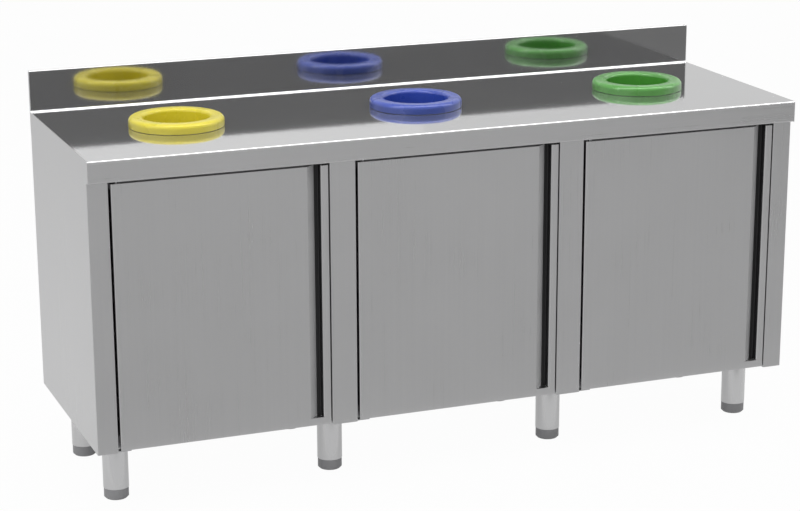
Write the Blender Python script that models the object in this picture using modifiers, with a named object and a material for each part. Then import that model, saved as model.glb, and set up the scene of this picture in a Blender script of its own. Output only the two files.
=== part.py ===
"""Recycling bin cabinet: a stainless steel counter with three waste throats over three doored bays.

Units are metres and +Z is up. The front faces -Y, and the origin is on the floor under the middle.
"""

import math

import bmesh
import bpy
from mathutils import Vector

CABINET = "recycling_bin_cabinet"
BAYS = ("left", "middle", "right")

# Overall sizes
LENGTH = 1.800
CARCASS_DEPTH = 0.569
WORKTOP_HEIGHT = 0.850
CARCASS_UNDERSIDE = 0.1525

# Sheet metal, and the gap between pieces that touch
SHEET = 0.0015
INNER_FOLD = 0.0015
FOLD_STEPS = 3
FIT = 0.0003
WELD_OVERLAP = 0.0012
SMOOTH_ANGLE = math.radians(30.0)
MERGE_DISTANCE = 0.00001

# Worktop
FASCIA_HEIGHT = 0.052
FASCIA_PROUD = 0.016
FASCIA_RETURN = 0.026
UPSTAND_HEIGHT = 0.102
UPSTAND_THICKNESS = 0.007
COVE_RADIUS = 0.0055
BOARD_THICKNESS = 0.018

# Throat collars
THROAT_END_DISTANCE = 0.290
THROAT_RADIUS = 0.079
COLLAR_RADIUS = 0.114
COLLAR_HEIGHT = 0.024
COLLAR_BAND = 0.0004
COLLAR_SEAT = 0.002
COLLAR_ROUND = 0.009
COLLAR_WALL = 0.003
SLEEVE_LENGTH = 0.045
CUTOUT_CLEARANCE = 0.0008
COLLAR_SEGMENTS = 36

# Posts, rails and floor
CORNER_POST = 0.0495
MIDDLE_POST = 0.0645
SIDE_RETURN = 0.020
RAIL_HEIGHT = 0.060
RAIL_DEPTH = 0.030
BASE_HEIGHT = 0.030
PARTITION_FLANGE = 0.015

# Doors
DOOR_THICKNESS = 0.024
DOOR_TOP_GAP = 0.008
DOOR_BOTTOM_GAP = 0.001
LOCK_GAP = 0.0025
LIP_WIDTH = 0.0195
CHANNEL_WIDTH = 0.033
CHANNEL_FLOOR = 0.010
CHANNEL_STOP = 0.018
LINER_GAP = 0.001
END_PLATE_INSET = 0.0002

# Door pivots
PIVOT_INSET = 0.016
SWING_CLEARANCE = 0.0012
PIN_RADIUS = 0.004
PIN_ENGAGEMENT = 0.012
BOSS_WALL = 0.0035
BOSS_HEIGHT = 0.016
BORE_REACH = 0.024
HINGE_PLATE = 0.003
HINGE_PLATE_MARGIN = 0.010
PIN_SEGMENTS = 16

# Magnetic catches
CATCH_WIDTH = 0.044
CATCH_HEIGHT = 0.014
CATCH_EDGE_DISTANCE = 0.060
CATCH_DROP = 0.006
CATCH_AIR = 0.0005
CATCH_EDGE = 0.001
CATCH_EDGE_STEPS = 2

# Waste bins
BIN_SIDE_ROOM = 0.062
BIN_DEPTH_ROOM = 0.057
BIN_HEADROOM = 0.018
BIN_WALL = 0.003
BIN_TAPER = 0.030
BIN_CORNER = 0.050
BIN_CORNER_STEPS = 4
BIN_FOOT_ROUND = 0.015
BIN_FOOT_STEPS = 2
BIN_RIM = 0.014
BIN_RIM_DROP = 0.012

# Legs and feet
LEG_RADIUS = 0.0305
LEG_WALL = 0.002
LEG_PLATE_RADIUS = 0.042
LEG_PLATE = 0.004
LEG_RAIL_MARGIN = 0.005
LEG_END_INSET = 0.068
LEG_FRONT_SETBACK = 0.1185
LEG_REAR_SETBACK = 0.1325
FOOT_HEIGHT = 0.026
FOOT_STEP = 0.001
FOOT_CHAMFER = 0.004
FOOT_PLUG = 0.045
LEG_SEGMENTS = 20

# Levels and planes that follow from the sizes above
FOLD_RADIUS = SHEET + INNER_FOLD
TOTAL_DEPTH = CARCASS_DEPTH + FASCIA_PROUD
FASCIA_Y = -TOTAL_DEPTH / 2
FRONT_Y = FASCIA_Y + FASCIA_PROUD
BACK_Y = TOTAL_DEPTH / 2
LEFT_X = -LENGTH / 2
RIGHT_X = LENGTH / 2
INNER_LEFT_X = LEFT_X + SHEET + FIT
INNER_RIGHT_X = RIGHT_X - SHEET - FIT
INNER_BACK_Y = BACK_Y - SHEET - FIT
FULL_SPAN = (INNER_LEFT_X, INNER_RIGHT_X)
REAR_SPAN = (INNER_LEFT_X + INNER_FOLD, INNER_RIGHT_X - INNER_FOLD)
FASCIA_BOTTOM = WORKTOP_HEIGHT - FASCIA_HEIGHT
UPSTAND_TOP = WORKTOP_HEIGHT + UPSTAND_HEIGHT
UPSTAND_Y = BACK_Y - UPSTAND_THICKNESS
CARCASS_TOP = FASCIA_BOTTOM - FIT
BOARD_TOP = WORKTOP_HEIGHT - SHEET - FIT
BOARD_BOTTOM = BOARD_TOP - BOARD_THICKNESS
RAIL_TOP = BOARD_BOTTOM - FIT
RAIL_BOTTOM = RAIL_TOP - RAIL_HEIGHT
FLOOR_TOP = CARCASS_UNDERSIDE + BASE_HEIGHT
DOOR_LOW = CARCASS_UNDERSIDE + HINGE_PLATE + DOOR_BOTTOM_GAP
DOOR_HIGH = FASCIA_BOTTOM - DOOR_TOP_GAP
DOOR_BACK_Y = FRONT_Y + DOOR_THICKNESS
PIVOT_Y = FRONT_Y + DOOR_THICKNESS / 2
PIVOT_REACH = math.hypot(PIVOT_INSET, DOOR_THICKNESS / 2)
HINGE_GAP = PIVOT_REACH - PIVOT_INSET + SWING_CLEARANCE
FRAME_Y = FRONT_Y + DOOR_THICKNESS / 2 + PIVOT_REACH + SWING_CLEARANCE
THROAT_Y = FRONT_Y + CARCASS_DEPTH / 2
THROAT_X = (LEFT_X + THROAT_END_DISTANCE, 0.0, RIGHT_X - THROAT_END_DISTANCE)
SLEEVE_RADIUS = THROAT_RADIUS + COLLAR_WALL
COLLAR_BULGE = (COLLAR_HEIGHT - COLLAR_BAND) / 2
CUTOUT_RADIUS = SLEEVE_RADIUS + CUTOUT_CLEARANCE
OPENING_WIDTH = (LENGTH - 2 * CORNER_POST - 2 * MIDDLE_POST) / len(BAYS)
OPENING_PITCH = OPENING_WIDTH + MIDDLE_POST
OPENING_X = [LEFT_X + CORNER_POST + i * OPENING_PITCH for i in range(len(BAYS))]
POST_CENTRE_X = [x + OPENING_WIDTH + MIDDLE_POST / 2 for x in OPENING_X[:-1]]

# Colour, roughness and metallic value of each finish
FINISHES = {
    "polished_steel": ((0.66, 0.66, 0.665), 0.08, 1.0),
    "brushed_steel": ((0.56, 0.56, 0.57), 0.30, 1.0),
    "inner_steel": ((0.50, 0.50, 0.51), 0.40, 1.0),
    "yellow_plastic": ((0.93, 0.80, 0.06), 0.30, 0.0),
    "blue_plastic": ((0.04, 0.11, 0.50), 0.30, 0.0),
    "green_plastic": ((0.08, 0.42, 0.05), 0.30, 0.0),
    "bin_plastic": ((0.20, 0.21, 0.22), 0.50, 0.0),
    "foot_plastic": ((0.30, 0.30, 0.31), 0.50, 0.0),
    "board": ((0.55, 0.42, 0.28), 0.70, 0.0),
    "magnet_plastic": ((0.70, 0.70, 0.68), 0.45, 0.0),
}
THROAT_FINISHES = ("yellow_plastic", "blue_plastic", "green_plastic")


# Scene, collections and materials

def clear_scene():
    for obj in list(bpy.data.objects):
        bpy.data.objects.remove(obj, do_unlink=True)


def new_collection(name):
    made = bpy.data.collections.new(name)
    bpy.context.scene.collection.children.link(made)
    return made


def new_material(name, colour, roughness, metallic):
    material = bpy.data.materials.new(name)
    material.use_nodes = True
    shader = material.node_tree.nodes["Principled BSDF"]
    shader.inputs["Base Color"].default_value = (*colour, 1.0)
    shader.inputs["Roughness"].default_value = roughness
    shader.inputs["Metallic"].default_value = metallic
    return material


clear_scene()
PARTS = new_collection(CABINET)
CUTTERS = new_collection("cutters")
MATERIALS = {name: new_material(name, *values) for name, values in FINISHES.items()}


# General modelling helpers

def add(name, mesh, finish, location=(0.0, 0.0, 0.0), parent=None):
    """Put a mesh in the scene as a part, at a world location."""
    obj = bpy.data.objects.new(name, mesh)
    PARTS.objects.link(obj)
    obj.location = Vector(location)
    if parent is not None:
        obj.parent = parent
        obj.location -= parent.location
    if finish is not None:
        mesh.materials.clear()
        mesh.materials.append(MATERIALS[finish])
    return obj


def as_tool(obj):
    """Turn an object into a hidden operand for a Boolean."""
    PARTS.objects.unlink(obj)
    CUTTERS.objects.link(obj)
    obj.hide_render = True
    obj.display_type = "WIRE"
    return obj


def boolean(target, tool, operation):
    modifier = target.modifiers.new(operation.lower(), "BOOLEAN")
    modifier.operation = operation
    modifier.solver = "EXACT"
    modifier.object = as_tool(tool)


def cut(target, tool):
    boolean(target, tool, "DIFFERENCE")


def join(target, tool):
    boolean(target, tool, "UNION")


def solidify(obj, thickness):
    """Give an open surface a thickness behind its outer face."""
    modifier = obj.modifiers.new("thickness", "SOLIDIFY")
    modifier.thickness = thickness
    modifier.offset = -1.0
    modifier.use_even_offset = True


def bevel(obj, width, steps):
    modifier = obj.modifiers.new("edges", "BEVEL")
    modifier.width = width
    modifier.segments = steps
    modifier.limit_method = "ANGLE"


def mesh_from(name, bm):
    mesh = bpy.data.meshes.new(name)
    bm.to_mesh(mesh)
    bm.free()
    return mesh


def smooth(mesh):
    mesh.shade_smooth()
    mesh.set_sharp_from_angle(angle=SMOOTH_ANGLE)


def box(name, low, high, finish=None, parent=None):
    """A block between two corners."""
    low = Vector(low)
    high = Vector(high)
    bm = bmesh.new()
    bmesh.ops.create_cube(bm, size=1.0)
    bmesh.ops.scale(bm, vec=high - low, verts=bm.verts)
    return add(name, mesh_from(name, bm), finish, (low + high) / 2, parent)


def cylinder(name, x, y, low, high, radius, segments, finish=None, parent=None):
    """An upright cylinder between two levels."""
    bm = bmesh.new()
    bmesh.ops.create_cone(
        bm, cap_ends=True, segments=segments, radius1=radius, radius2=radius, depth=high - low
    )
    return add(name, mesh_from(name, bm), finish, (x, y, (low + high) / 2), parent)


def rounded(corners, radii):
    """Points of an open path whose inner corners become arcs of the given radii."""
    corners = [Vector(c) for c in corners]
    points = [corners[0]]
    for before, corner, after, radius in zip(corners, corners[1:], corners[2:], radii):
        back = (before - corner).normalized()
        ahead = (after - corner).normalized()
        half = back.angle(ahead) / 2
        start = corner + back * (radius / math.tan(half))
        centre = corner + (back + ahead).normalized() * (radius / math.sin(half))
        arm = start - centre
        sweep = math.copysign(math.pi - 2 * half, back.y * ahead.x - back.x * ahead.y)
        for step in range(FOLD_STEPS + 1):
            turn = sweep * step / FOLD_STEPS
            turned_arm = Vector((
                arm.x * math.cos(turn) - arm.y * math.sin(turn),
                arm.x * math.sin(turn) + arm.y * math.cos(turn),
            ))
            points.append(centre + turned_arm)
    points.append(corners[-1])
    return points


def in_profile_plane(point, along):
    """A point of a profile drawn in Y and Z, at a place along X."""
    return (along, point[0], point[1])


def in_plan(point, along):
    """A point of a profile drawn in X and Y, at a level along Z."""
    return (point[0], point[1], along)


def folded(name, corners, place, span, finish, radii=None, parent=None):
    """A folded sheet: a path of outer corners drawn out along a span.

    The outer face is on the left of the path's direction of travel.
    """
    if radii is None:
        radii = [FOLD_RADIUS] * (len(corners) - 2)
    origin = parent.location if parent is not None else Vector()
    points = [Vector(place(p, span[0])) - origin for p in rounded(corners, radii)]
    draw = Vector(place((0.0, 0.0), span[1] - span[0]))
    bm = bmesh.new()
    chain = [bm.verts.new(p) for p in points]
    edges = [bm.edges.new(pair) for pair in zip(chain, chain[1:])]
    grown = bmesh.ops.extrude_edge_only(bm, edges=edges)["geom"]
    moved = [item for item in grown if isinstance(item, bmesh.types.BMVert)]
    bmesh.ops.translate(bm, vec=draw, verts=moved)
    bm.normal_update()
    outward = draw.cross(points[1] - points[0])
    if edges[0].link_faces[0].normal.dot(outward) < 0.0:
        bmesh.ops.reverse_faces(bm, faces=bm.faces)
    mesh = mesh_from(name, bm)
    smooth(mesh)
    obj = add(name, mesh, finish, origin, parent)
    solidify(obj, SHEET)
    return obj


def turned(name, profile, finish, location, segments, ring=False):
    """A profile of radius and height pairs turned round the Z axis.

    The profile runs down its outer side. A ring's profile is a closed loop clear of the axis.
    """
    mesh = bpy.data.meshes.new(name)
    chain = [(i, i + 1) for i in range(len(profile) - 1)]
    if ring:
        chain.append((len(profile) - 1, 0))
    mesh.from_pydata([(radius, 0.0, height) for radius, height in profile], chain, [])
    obj = add(name, mesh, finish, location)
    modifier = obj.modifiers.new("turn", "SCREW")
    modifier.axis = "Z"
    modifier.angle = math.tau
    modifier.steps = segments
    modifier.render_steps = segments
    modifier.use_merge_vertices = True
    modifier.merge_threshold = MERGE_DISTANCE
    modifier.use_smooth_shade = True
    return obj


# Worktop

def worktop_outline():
    """Outer corners and fold radii of the worktop, from the fascia's return to the rear skirt."""
    corners = [
        (FASCIA_Y + FASCIA_RETURN, FASCIA_BOTTOM),
        (FASCIA_Y, FASCIA_BOTTOM),
        (FASCIA_Y, WORKTOP_HEIGHT),
        (UPSTAND_Y, WORKTOP_HEIGHT),
        (UPSTAND_Y, UPSTAND_TOP),
        (BACK_Y, UPSTAND_TOP),
        (BACK_Y, FASCIA_BOTTOM),
    ]
    radii = [FOLD_RADIUS, FOLD_RADIUS, COVE_RADIUS, FOLD_RADIUS, FOLD_RADIUS]
    return corners, radii


def cut_throats(target, radius):
    """Cut the three throats out of a plate of the worktop."""
    for bay, x in zip(BAYS, THROAT_X):
        hole = cylinder(
            f"{bay}_{target.name}_cutout", x, THROAT_Y, FASCIA_BOTTOM, UPSTAND_TOP, radius, COLLAR_SEGMENTS
        )
        cut(target, hole)


def make_worktop():
    corners, radii = worktop_outline()
    top = folded("worktop", corners, in_profile_plane, FULL_SPAN, "polished_steel", radii)
    cut_throats(top, CUTOUT_RADIUS)


def make_underlay():
    board = box(
        "worktop_underlay",
        (INNER_LEFT_X, FASCIA_Y + FOLD_RADIUS + FIT, BOARD_BOTTOM),
        (INNER_RIGHT_X, INNER_BACK_Y, BOARD_TOP),
        "board",
    )
    cut_throats(board, CUTOUT_RADIUS + CUTOUT_CLEARANCE)


def make_end_plate(name, x):
    """A flat plate that closes one end of the worktop and its upstand."""
    corners, radii = worktop_outline()
    outline = rounded(corners[1:], radii[1:])
    curve = bpy.data.curves.new(name, "CURVE")
    curve.dimensions = "2D"
    curve.fill_mode = "BOTH"
    curve.extrude = SHEET / 2
    spline = curve.splines.new("POLY")
    spline.points.add(len(outline) - 1)
    for point, (y, z) in zip(spline.points, outline):
        point.co = (y, z, 0.0, 1.0)
    spline.use_cyclic_u = True
    curve.materials.append(MATERIALS["brushed_steel"])
    plate = bpy.data.objects.new(name, curve)
    PARTS.objects.link(plate)
    plate.location = (x, 0.0, 0.0)
    plate.rotation_euler = (math.pi / 2, 0.0, math.pi / 2)


def make_collar(bay, x, finish):
    """A moulded throat collar: a half-round ring on the worktop and a sleeve through the cut-out."""
    foot = COLLAR_RADIUS - COLLAR_BULGE - COLLAR_SEAT
    outer = rounded(
        [
            (THROAT_RADIUS, -SLEEVE_LENGTH),
            (THROAT_RADIUS, COLLAR_HEIGHT),
            (COLLAR_RADIUS, COLLAR_HEIGHT),
            (COLLAR_RADIUS, 0.0),
            (foot, 0.0),
        ],
        [COLLAR_ROUND, COLLAR_BULGE, COLLAR_BULGE],
    )
    inner = [
        (foot, COLLAR_HEIGHT - COLLAR_WALL),
        (SLEEVE_RADIUS + COLLAR_ROUND, COLLAR_HEIGHT - COLLAR_WALL),
        (SLEEVE_RADIUS, COLLAR_HEIGHT - COLLAR_WALL - COLLAR_ROUND),
        (SLEEVE_RADIUS, -SLEEVE_LENGTH),
    ]
    profile = [tuple(p) for p in outer] + inner
    seat = (x, THROAT_Y, WORKTOP_HEIGHT + FIT)
    turned(f"{bay}_throat_collar", profile, finish, seat, COLLAR_SEGMENTS, ring=True)


# Carcass

def make_side_panels():
    height = (CARCASS_UNDERSIDE, CARCASS_TOP)
    left = [(LEFT_X, FRONT_Y), (LEFT_X, BACK_Y), (LEFT_X + SIDE_RETURN, BACK_Y)]
    right = [(RIGHT_X - SIDE_RETURN, BACK_Y), (RIGHT_X, BACK_Y), (RIGHT_X, FRONT_Y)]
    folded("left_side_panel", left, in_plan, height, "brushed_steel")
    folded("right_side_panel", right, in_plan, height, "brushed_steel")


def make_post(name, left, right):
    """A front post: a channel that is open at the back."""
    back = FRAME_Y - FIT
    corners = [(right, back), (right, FRONT_Y), (left, FRONT_Y), (left, back)]
    folded(name, corners, in_plan, (CARCASS_UNDERSIDE, CARCASS_TOP), "brushed_steel")


def make_posts():
    make_post("left_corner_post", INNER_LEFT_X, OPENING_X[0])
    for side, x in zip(("left", "right"), POST_CENTRE_X):
        make_post(f"{side}_middle_post", x - MIDDLE_POST / 2, x + MIDDLE_POST / 2)
    make_post("right_corner_post", OPENING_X[-1] + OPENING_WIDTH, INNER_RIGHT_X)


def make_rails():
    """The two channels that carry the worktop, open towards each other."""
    inside = FRAME_Y + RAIL_DEPTH
    front = [(inside, RAIL_BOTTOM), (FRAME_Y, RAIL_BOTTOM), (FRAME_Y, RAIL_TOP), (inside, RAIL_TOP)]
    folded("front_rail", front, in_profile_plane, FULL_SPAN, "inner_steel")
    inside = INNER_BACK_Y - RAIL_DEPTH
    rear = [(inside, RAIL_TOP), (INNER_BACK_Y, RAIL_TOP), (INNER_BACK_Y, RAIL_BOTTOM), (inside, RAIL_BOTTOM)]
    folded("rear_rail", rear, in_profile_plane, REAR_SPAN, "inner_steel")


def make_base():
    """The cabinet floor with a skirt in front and behind."""
    corners = [
        (FRAME_Y, CARCASS_UNDERSIDE),
        (FRAME_Y, FLOOR_TOP),
        (INNER_BACK_Y, FLOOR_TOP),
        (INNER_BACK_Y, CARCASS_UNDERSIDE),
    ]
    folded("base_panel", corners, in_profile_plane, REAR_SPAN, "inner_steel")


def make_back():
    box(
        "back_panel",
        (REAR_SPAN[0], INNER_BACK_Y - SHEET, FLOOR_TOP + FIT),
        (REAR_SPAN[1], INNER_BACK_Y, RAIL_BOTTOM - FIT),
        "brushed_steel",
    )


def make_partitions():
    """A flanged sheet behind each middle post, from the floor to the rails."""
    back = INNER_BACK_Y - SHEET - FIT
    for side, x in zip(("left", "right"), POST_CENTRE_X):
        corners = [(x + PARTITION_FLANGE, FRAME_Y), (x, FRAME_Y), (x, back), (x + PARTITION_FLANGE, back)]
        folded(f"{side}_partition", corners, in_plan, (FLOOR_TOP + FIT, RAIL_BOTTOM - FIT), "inner_steel")


# Doors

def make_door(bay, opening_left):
    """A double-skinned door on two pivots, its parts hung on an empty on the pivots' axis."""
    opening_right = opening_left + OPENING_WIDTH
    left = opening_left + HINGE_GAP
    right = opening_right - LOCK_GAP
    axis = bpy.data.objects.new(f"{bay}_door_axis", None)
    PARTS.objects.link(axis)
    axis.location = (left + PIVOT_INSET, PIVOT_Y, DOOR_LOW)
    make_door_skin(bay, left, right, axis)
    inset = SHEET + FIT
    end = END_PLATE_INSET + inset
    box(
        f"{bay}_door_liner",
        (left + inset, DOOR_BACK_Y - SHEET, DOOR_LOW + end),
        (right - inset, DOOR_BACK_Y, DOOR_HIGH - end),
        "inner_steel",
        parent=axis,
    )
    make_pivots(bay, opening_left, axis.location.x)
    make_catch(bay, right)


def make_door_skin(bay, left, right, axis):
    """The folded front of a door, closed at both ends.

    A slope leads from the flat panel into the finger channel, and a lip closes the free edge.
    """
    lip = right - LIP_WIDTH
    panel = lip - CHANNEL_WIDTH
    slope_end = lip - CHANNEL_FLOOR
    channel_y = DOOR_BACK_Y - SHEET - LINER_GAP - SHEET
    corners = [
        (right, DOOR_BACK_Y),
        (right, FRONT_Y),
        (lip, FRONT_Y),
        (lip, channel_y),
        (slope_end, channel_y),
        (panel, FRONT_Y),
        (left, FRONT_Y),
        (left, DOOR_BACK_Y),
    ]
    skin = folded(f"{bay}_door_skin", corners, in_plan, (DOOR_LOW, DOOR_HIGH), "brushed_steel", parent=axis)
    reach = PIN_RADIUS + BOSS_WALL
    for end, level, inward in (("lower", DOOR_LOW, 1.0), ("upper", DOOR_HIGH, -1.0)):
        outside = level + inward * END_PLATE_INSET
        plate = between(
            f"{bay}_{end}_end_plate",
            (left + WELD_OVERLAP, FRONT_Y + WELD_OVERLAP, outside),
            (right - WELD_OVERLAP, DOOR_BACK_Y - WELD_OVERLAP, outside + inward * SHEET),
            axis,
        )
        join(skin, plate)
        boss = between(
            f"{bay}_{end}_boss",
            (left + WELD_OVERLAP / 2, PIVOT_Y - reach, outside + inward * SHEET / 2),
            (left + PIVOT_INSET + reach, PIVOT_Y + reach, level + inward * BOSS_HEIGHT),
            axis,
        )
        join(skin, boss)
        bore = cylinder(
            f"{bay}_{end}_pin_bore",
            left + PIVOT_INSET,
            PIVOT_Y,
            level - BORE_REACH,
            level + BORE_REACH,
            PIN_RADIUS + FIT,
            PIN_SEGMENTS,
            parent=axis,
        )
        cut(skin, bore)
    stop = between(
        f"{bay}_channel_stop",
        (panel - WELD_OVERLAP, FRONT_Y + WELD_OVERLAP / 2, DOOR_LOW + END_PLATE_INSET + SHEET / 2),
        (lip + WELD_OVERLAP, channel_y + WELD_OVERLAP, DOOR_LOW + CHANNEL_STOP),
        axis,
    )
    join(skin, stop)


def between(name, first, second, parent):
    """A plain block between two corners given in any order of level."""
    low = [min(pair) for pair in zip(first, second)]
    high = [max(pair) for pair in zip(first, second)]
    return box(name, low, high, parent=parent)


def make_pivots(bay, opening_left, axis_x):
    """The brackets under and over a door's corner, each a plate on the post with an upright pin."""
    reach = PIN_RADIUS + BOSS_WALL
    ends = (
        ("lower", CARCASS_UNDERSIDE, CARCASS_UNDERSIDE + HINGE_PLATE, DOOR_LOW + PIN_ENGAGEMENT),
        ("upper", CARCASS_TOP - HINGE_PLATE, CARCASS_TOP, DOOR_HIGH - PIN_ENGAGEMENT),
    )
    for end, low, high, tip in ends:
        plate = box(
            f"{bay}_door_{end}_pivot",
            (opening_left + FIT, PIVOT_Y - reach, low),
            (axis_x + HINGE_PLATE_MARGIN, PIVOT_Y + reach, high),
            "inner_steel",
        )
        start, stop = sorted(((low + high) / 2, tip))
        pin = cylinder(f"{bay}_{end}_pin", axis_x, PIVOT_Y, start, stop, PIN_RADIUS, PIN_SEGMENTS)
        join(plate, pin)


def make_catch(bay, door_right):
    """A magnetic catch on the front rail, just behind the door's upper free corner."""
    centre = door_right - CATCH_EDGE_DISTANCE
    top = DOOR_HIGH - CATCH_DROP
    catch = box(
        f"{bay}_door_catch",
        (centre - CATCH_WIDTH / 2, DOOR_BACK_Y + CATCH_AIR, top - CATCH_HEIGHT),
        (centre + CATCH_WIDTH / 2, FRAME_Y - FIT, top),
        "magnet_plastic",
    )
    bevel(catch, CATCH_EDGE, CATCH_EDGE_STEPS)


# Waste bins

def make_bin(bay, opening_left):
    """A tapered open bin with rounded corners and a turned-down rim, standing on the cabinet floor."""
    inside_back = INNER_BACK_Y - SHEET
    width = OPENING_WIDTH - 2 * (BIN_SIDE_ROOM + BIN_RIM)
    depth = inside_back - FRAME_Y - 2 * (BIN_DEPTH_ROOM + BIN_RIM)
    height = RAIL_BOTTOM - BIN_HEADROOM - FLOOR_TOP
    bm = bmesh.new()
    bmesh.ops.create_cube(bm, size=1.0)
    bmesh.ops.translate(bm, vec=(0.0, 0.0, 0.5), verts=bm.verts)
    bmesh.ops.scale(bm, vec=(width, depth, height), verts=bm.verts)
    low = [v for v in bm.verts if v.co.z < height / 2]
    bmesh.ops.scale(bm, vec=(1 - 2 * BIN_TAPER / width, 1 - 2 * BIN_TAPER / depth, 1.0), verts=low)
    top = [f for f in bm.faces if f.normal.z > 0.5]
    bmesh.ops.delete(bm, geom=top, context="FACES_ONLY")
    uprights = [e for e in bm.edges if abs(e.verts[0].co.z - e.verts[1].co.z) > height / 2]
    round_edges(bm, uprights, BIN_CORNER, BIN_CORNER_STEPS)
    floor = [e for e in bm.edges if max(v.co.z for v in e.verts) < height / 2]
    round_edges(bm, floor, BIN_FOOT_ROUND, BIN_FOOT_STEPS)
    add_rim(bm, width, depth)
    mesh = mesh_from(f"{bay}_bin", bm)
    smooth(mesh)
    seat = (opening_left + OPENING_WIDTH / 2, (FRAME_Y + inside_back) / 2, FLOOR_TOP + FIT)
    obj = add(f"{bay}_bin", mesh, "bin_plastic", seat)
    solidify(obj, BIN_WALL)


def round_edges(bm, edges, radius, steps):
    bmesh.ops.bevel(
        bm, geom=edges, offset=radius, offset_type="OFFSET", segments=steps, profile=0.5, affect="EDGES"
    )


def add_rim(bm, width, depth):
    """Turn the bin's open edge outwards and then down."""
    edge = [e for e in bm.edges if e.is_boundary]
    grown = bmesh.ops.extrude_edge_only(bm, edges=edge)["geom"]
    rim = [item for item in grown if isinstance(item, bmesh.types.BMVert)]
    bmesh.ops.scale(bm, vec=(1 + 2 * BIN_RIM / width, 1 + 2 * BIN_RIM / depth, 1.0), verts=rim)
    edge = [item for item in grown if isinstance(item, bmesh.types.BMEdge) and item.is_boundary]
    grown = bmesh.ops.extrude_edge_only(bm, edges=edge)["geom"]
    skirt = [item for item in grown if isinstance(item, bmesh.types.BMVert)]
    bmesh.ops.translate(bm, vec=(0.0, 0.0, -BIN_RIM_DROP), verts=skirt)


# Legs and feet

def make_leg_rails(rows):
    """The channels under the floor that the legs bolt to, open upwards."""
    top = FLOOR_TOP - SHEET - FIT
    half_width = LEG_PLATE_RADIUS + LEG_RAIL_MARGIN
    for row, y in rows:
        front = y - half_width
        back = y + half_width
        corners = [(back, top), (back, CARCASS_UNDERSIDE), (front, CARCASS_UNDERSIDE), (front, top)]
        folded(f"{row}_leg_rail", corners, in_profile_plane, FULL_SPAN, "inner_steel")


def make_leg(name, x, y):
    """A tube leg, open below, under a round plate."""
    top = CARCASS_UNDERSIDE - FIT
    bottom = FOOT_HEIGHT + FIT
    bore = LEG_RADIUS - LEG_WALL
    profile = [
        (0.0, top),
        (LEG_PLATE_RADIUS, top),
        (LEG_PLATE_RADIUS, top - LEG_PLATE),
        (LEG_RADIUS, top - LEG_PLATE),
        (LEG_RADIUS, bottom),
        (bore, bottom),
        (bore, top - LEG_PLATE),
        (0.0, top - LEG_PLATE),
    ]
    turned(name, profile, "brushed_steel", (x, y, 0.0), LEG_SEGMENTS)


def make_foot(name, x, y):
    """A levelling foot: a pad on the floor with a plug that screws into the leg."""
    plug = LEG_RADIUS - LEG_WALL - FIT
    pad = LEG_RADIUS - FOOT_STEP
    profile = [
        (0.0, FOOT_HEIGHT + FOOT_PLUG),
        (plug, FOOT_HEIGHT + FOOT_PLUG),
        (plug, FOOT_HEIGHT),
        (pad, FOOT_HEIGHT),
        (pad, FOOT_CHAMFER),
        (pad - FOOT_CHAMFER, 0.0),
        (0.0, 0.0),
    ]
    turned(name, profile, "foot_plastic", (x, y, 0.0), LEG_SEGMENTS)


def make_legs():
    columns = [LEFT_X + LEG_END_INSET, *POST_CENTRE_X, RIGHT_X - LEG_END_INSET]
    rows = (("front", FRONT_Y + LEG_FRONT_SETBACK), ("rear", BACK_Y - LEG_REAR_SETBACK))
    make_leg_rails(rows)
    for row, y in rows:
        for number, x in enumerate(columns, start=1):
            make_leg(f"{row}_leg_{number}", x, y)
            make_foot(f"{row}_foot_{number}", x, y)


def main():
    make_worktop()
    make_underlay()
    make_end_plate("left_worktop_end", LEFT_X + SHEET / 2)
    make_end_plate("right_worktop_end", RIGHT_X - SHEET / 2)
    for bay, x, finish in zip(BAYS, THROAT_X, THROAT_FINISHES):
        make_collar(bay, x, finish)
    make_side_panels()
    make_posts()
    make_rails()
    make_base()
    make_back()
    make_partitions()
    for bay, x in zip(BAYS, OPENING_X):
        make_door(bay, x)
        make_bin(bay, x)
    make_legs()


main()
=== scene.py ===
"""Looks of the recycling bin cabinet: finishes, fine surfaces, small fittings, light and camera.

Units are metres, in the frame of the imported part: +X to the right, +Y to the back, +Z up.
"""

import math

import bmesh
import bpy
from mathutils import Matrix, Vector


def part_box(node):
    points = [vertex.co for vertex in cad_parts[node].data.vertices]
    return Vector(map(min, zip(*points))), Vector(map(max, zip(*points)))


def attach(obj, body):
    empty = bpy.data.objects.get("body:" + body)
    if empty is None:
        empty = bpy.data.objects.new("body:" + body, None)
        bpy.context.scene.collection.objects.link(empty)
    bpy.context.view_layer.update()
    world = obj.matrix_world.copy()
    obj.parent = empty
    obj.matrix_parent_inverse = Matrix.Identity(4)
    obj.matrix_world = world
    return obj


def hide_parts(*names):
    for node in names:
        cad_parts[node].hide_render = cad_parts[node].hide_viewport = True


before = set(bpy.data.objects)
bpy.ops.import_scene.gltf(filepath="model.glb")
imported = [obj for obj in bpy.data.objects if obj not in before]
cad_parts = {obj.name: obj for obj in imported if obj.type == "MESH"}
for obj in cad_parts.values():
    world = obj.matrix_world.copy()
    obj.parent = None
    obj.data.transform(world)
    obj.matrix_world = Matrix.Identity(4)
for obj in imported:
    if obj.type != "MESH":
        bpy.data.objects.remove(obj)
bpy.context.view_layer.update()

BAYS = ("left", "middle", "right")
SIDES = ("left", "right")
LEG_NAMES = [(row, number) for row in ("front", "rear") for number in (1, 2, 3, 4)]

# Mesh finish
SMOOTH_ANGLE = math.radians(35.0)
FLAT_WEIGHT = 100
EDGE_STEPS = 2
ROUND_EDGE = 0.5
FITTING_SEGMENTS = 24

# Sheet metal
SHEET = 0.0015
FOLD_RADIUS = 0.003
FOLD_STEPS = 8
FOLD_POINTS = FOLD_STEPS + 1
WELD_DISTANCE = 0.00001

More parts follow.
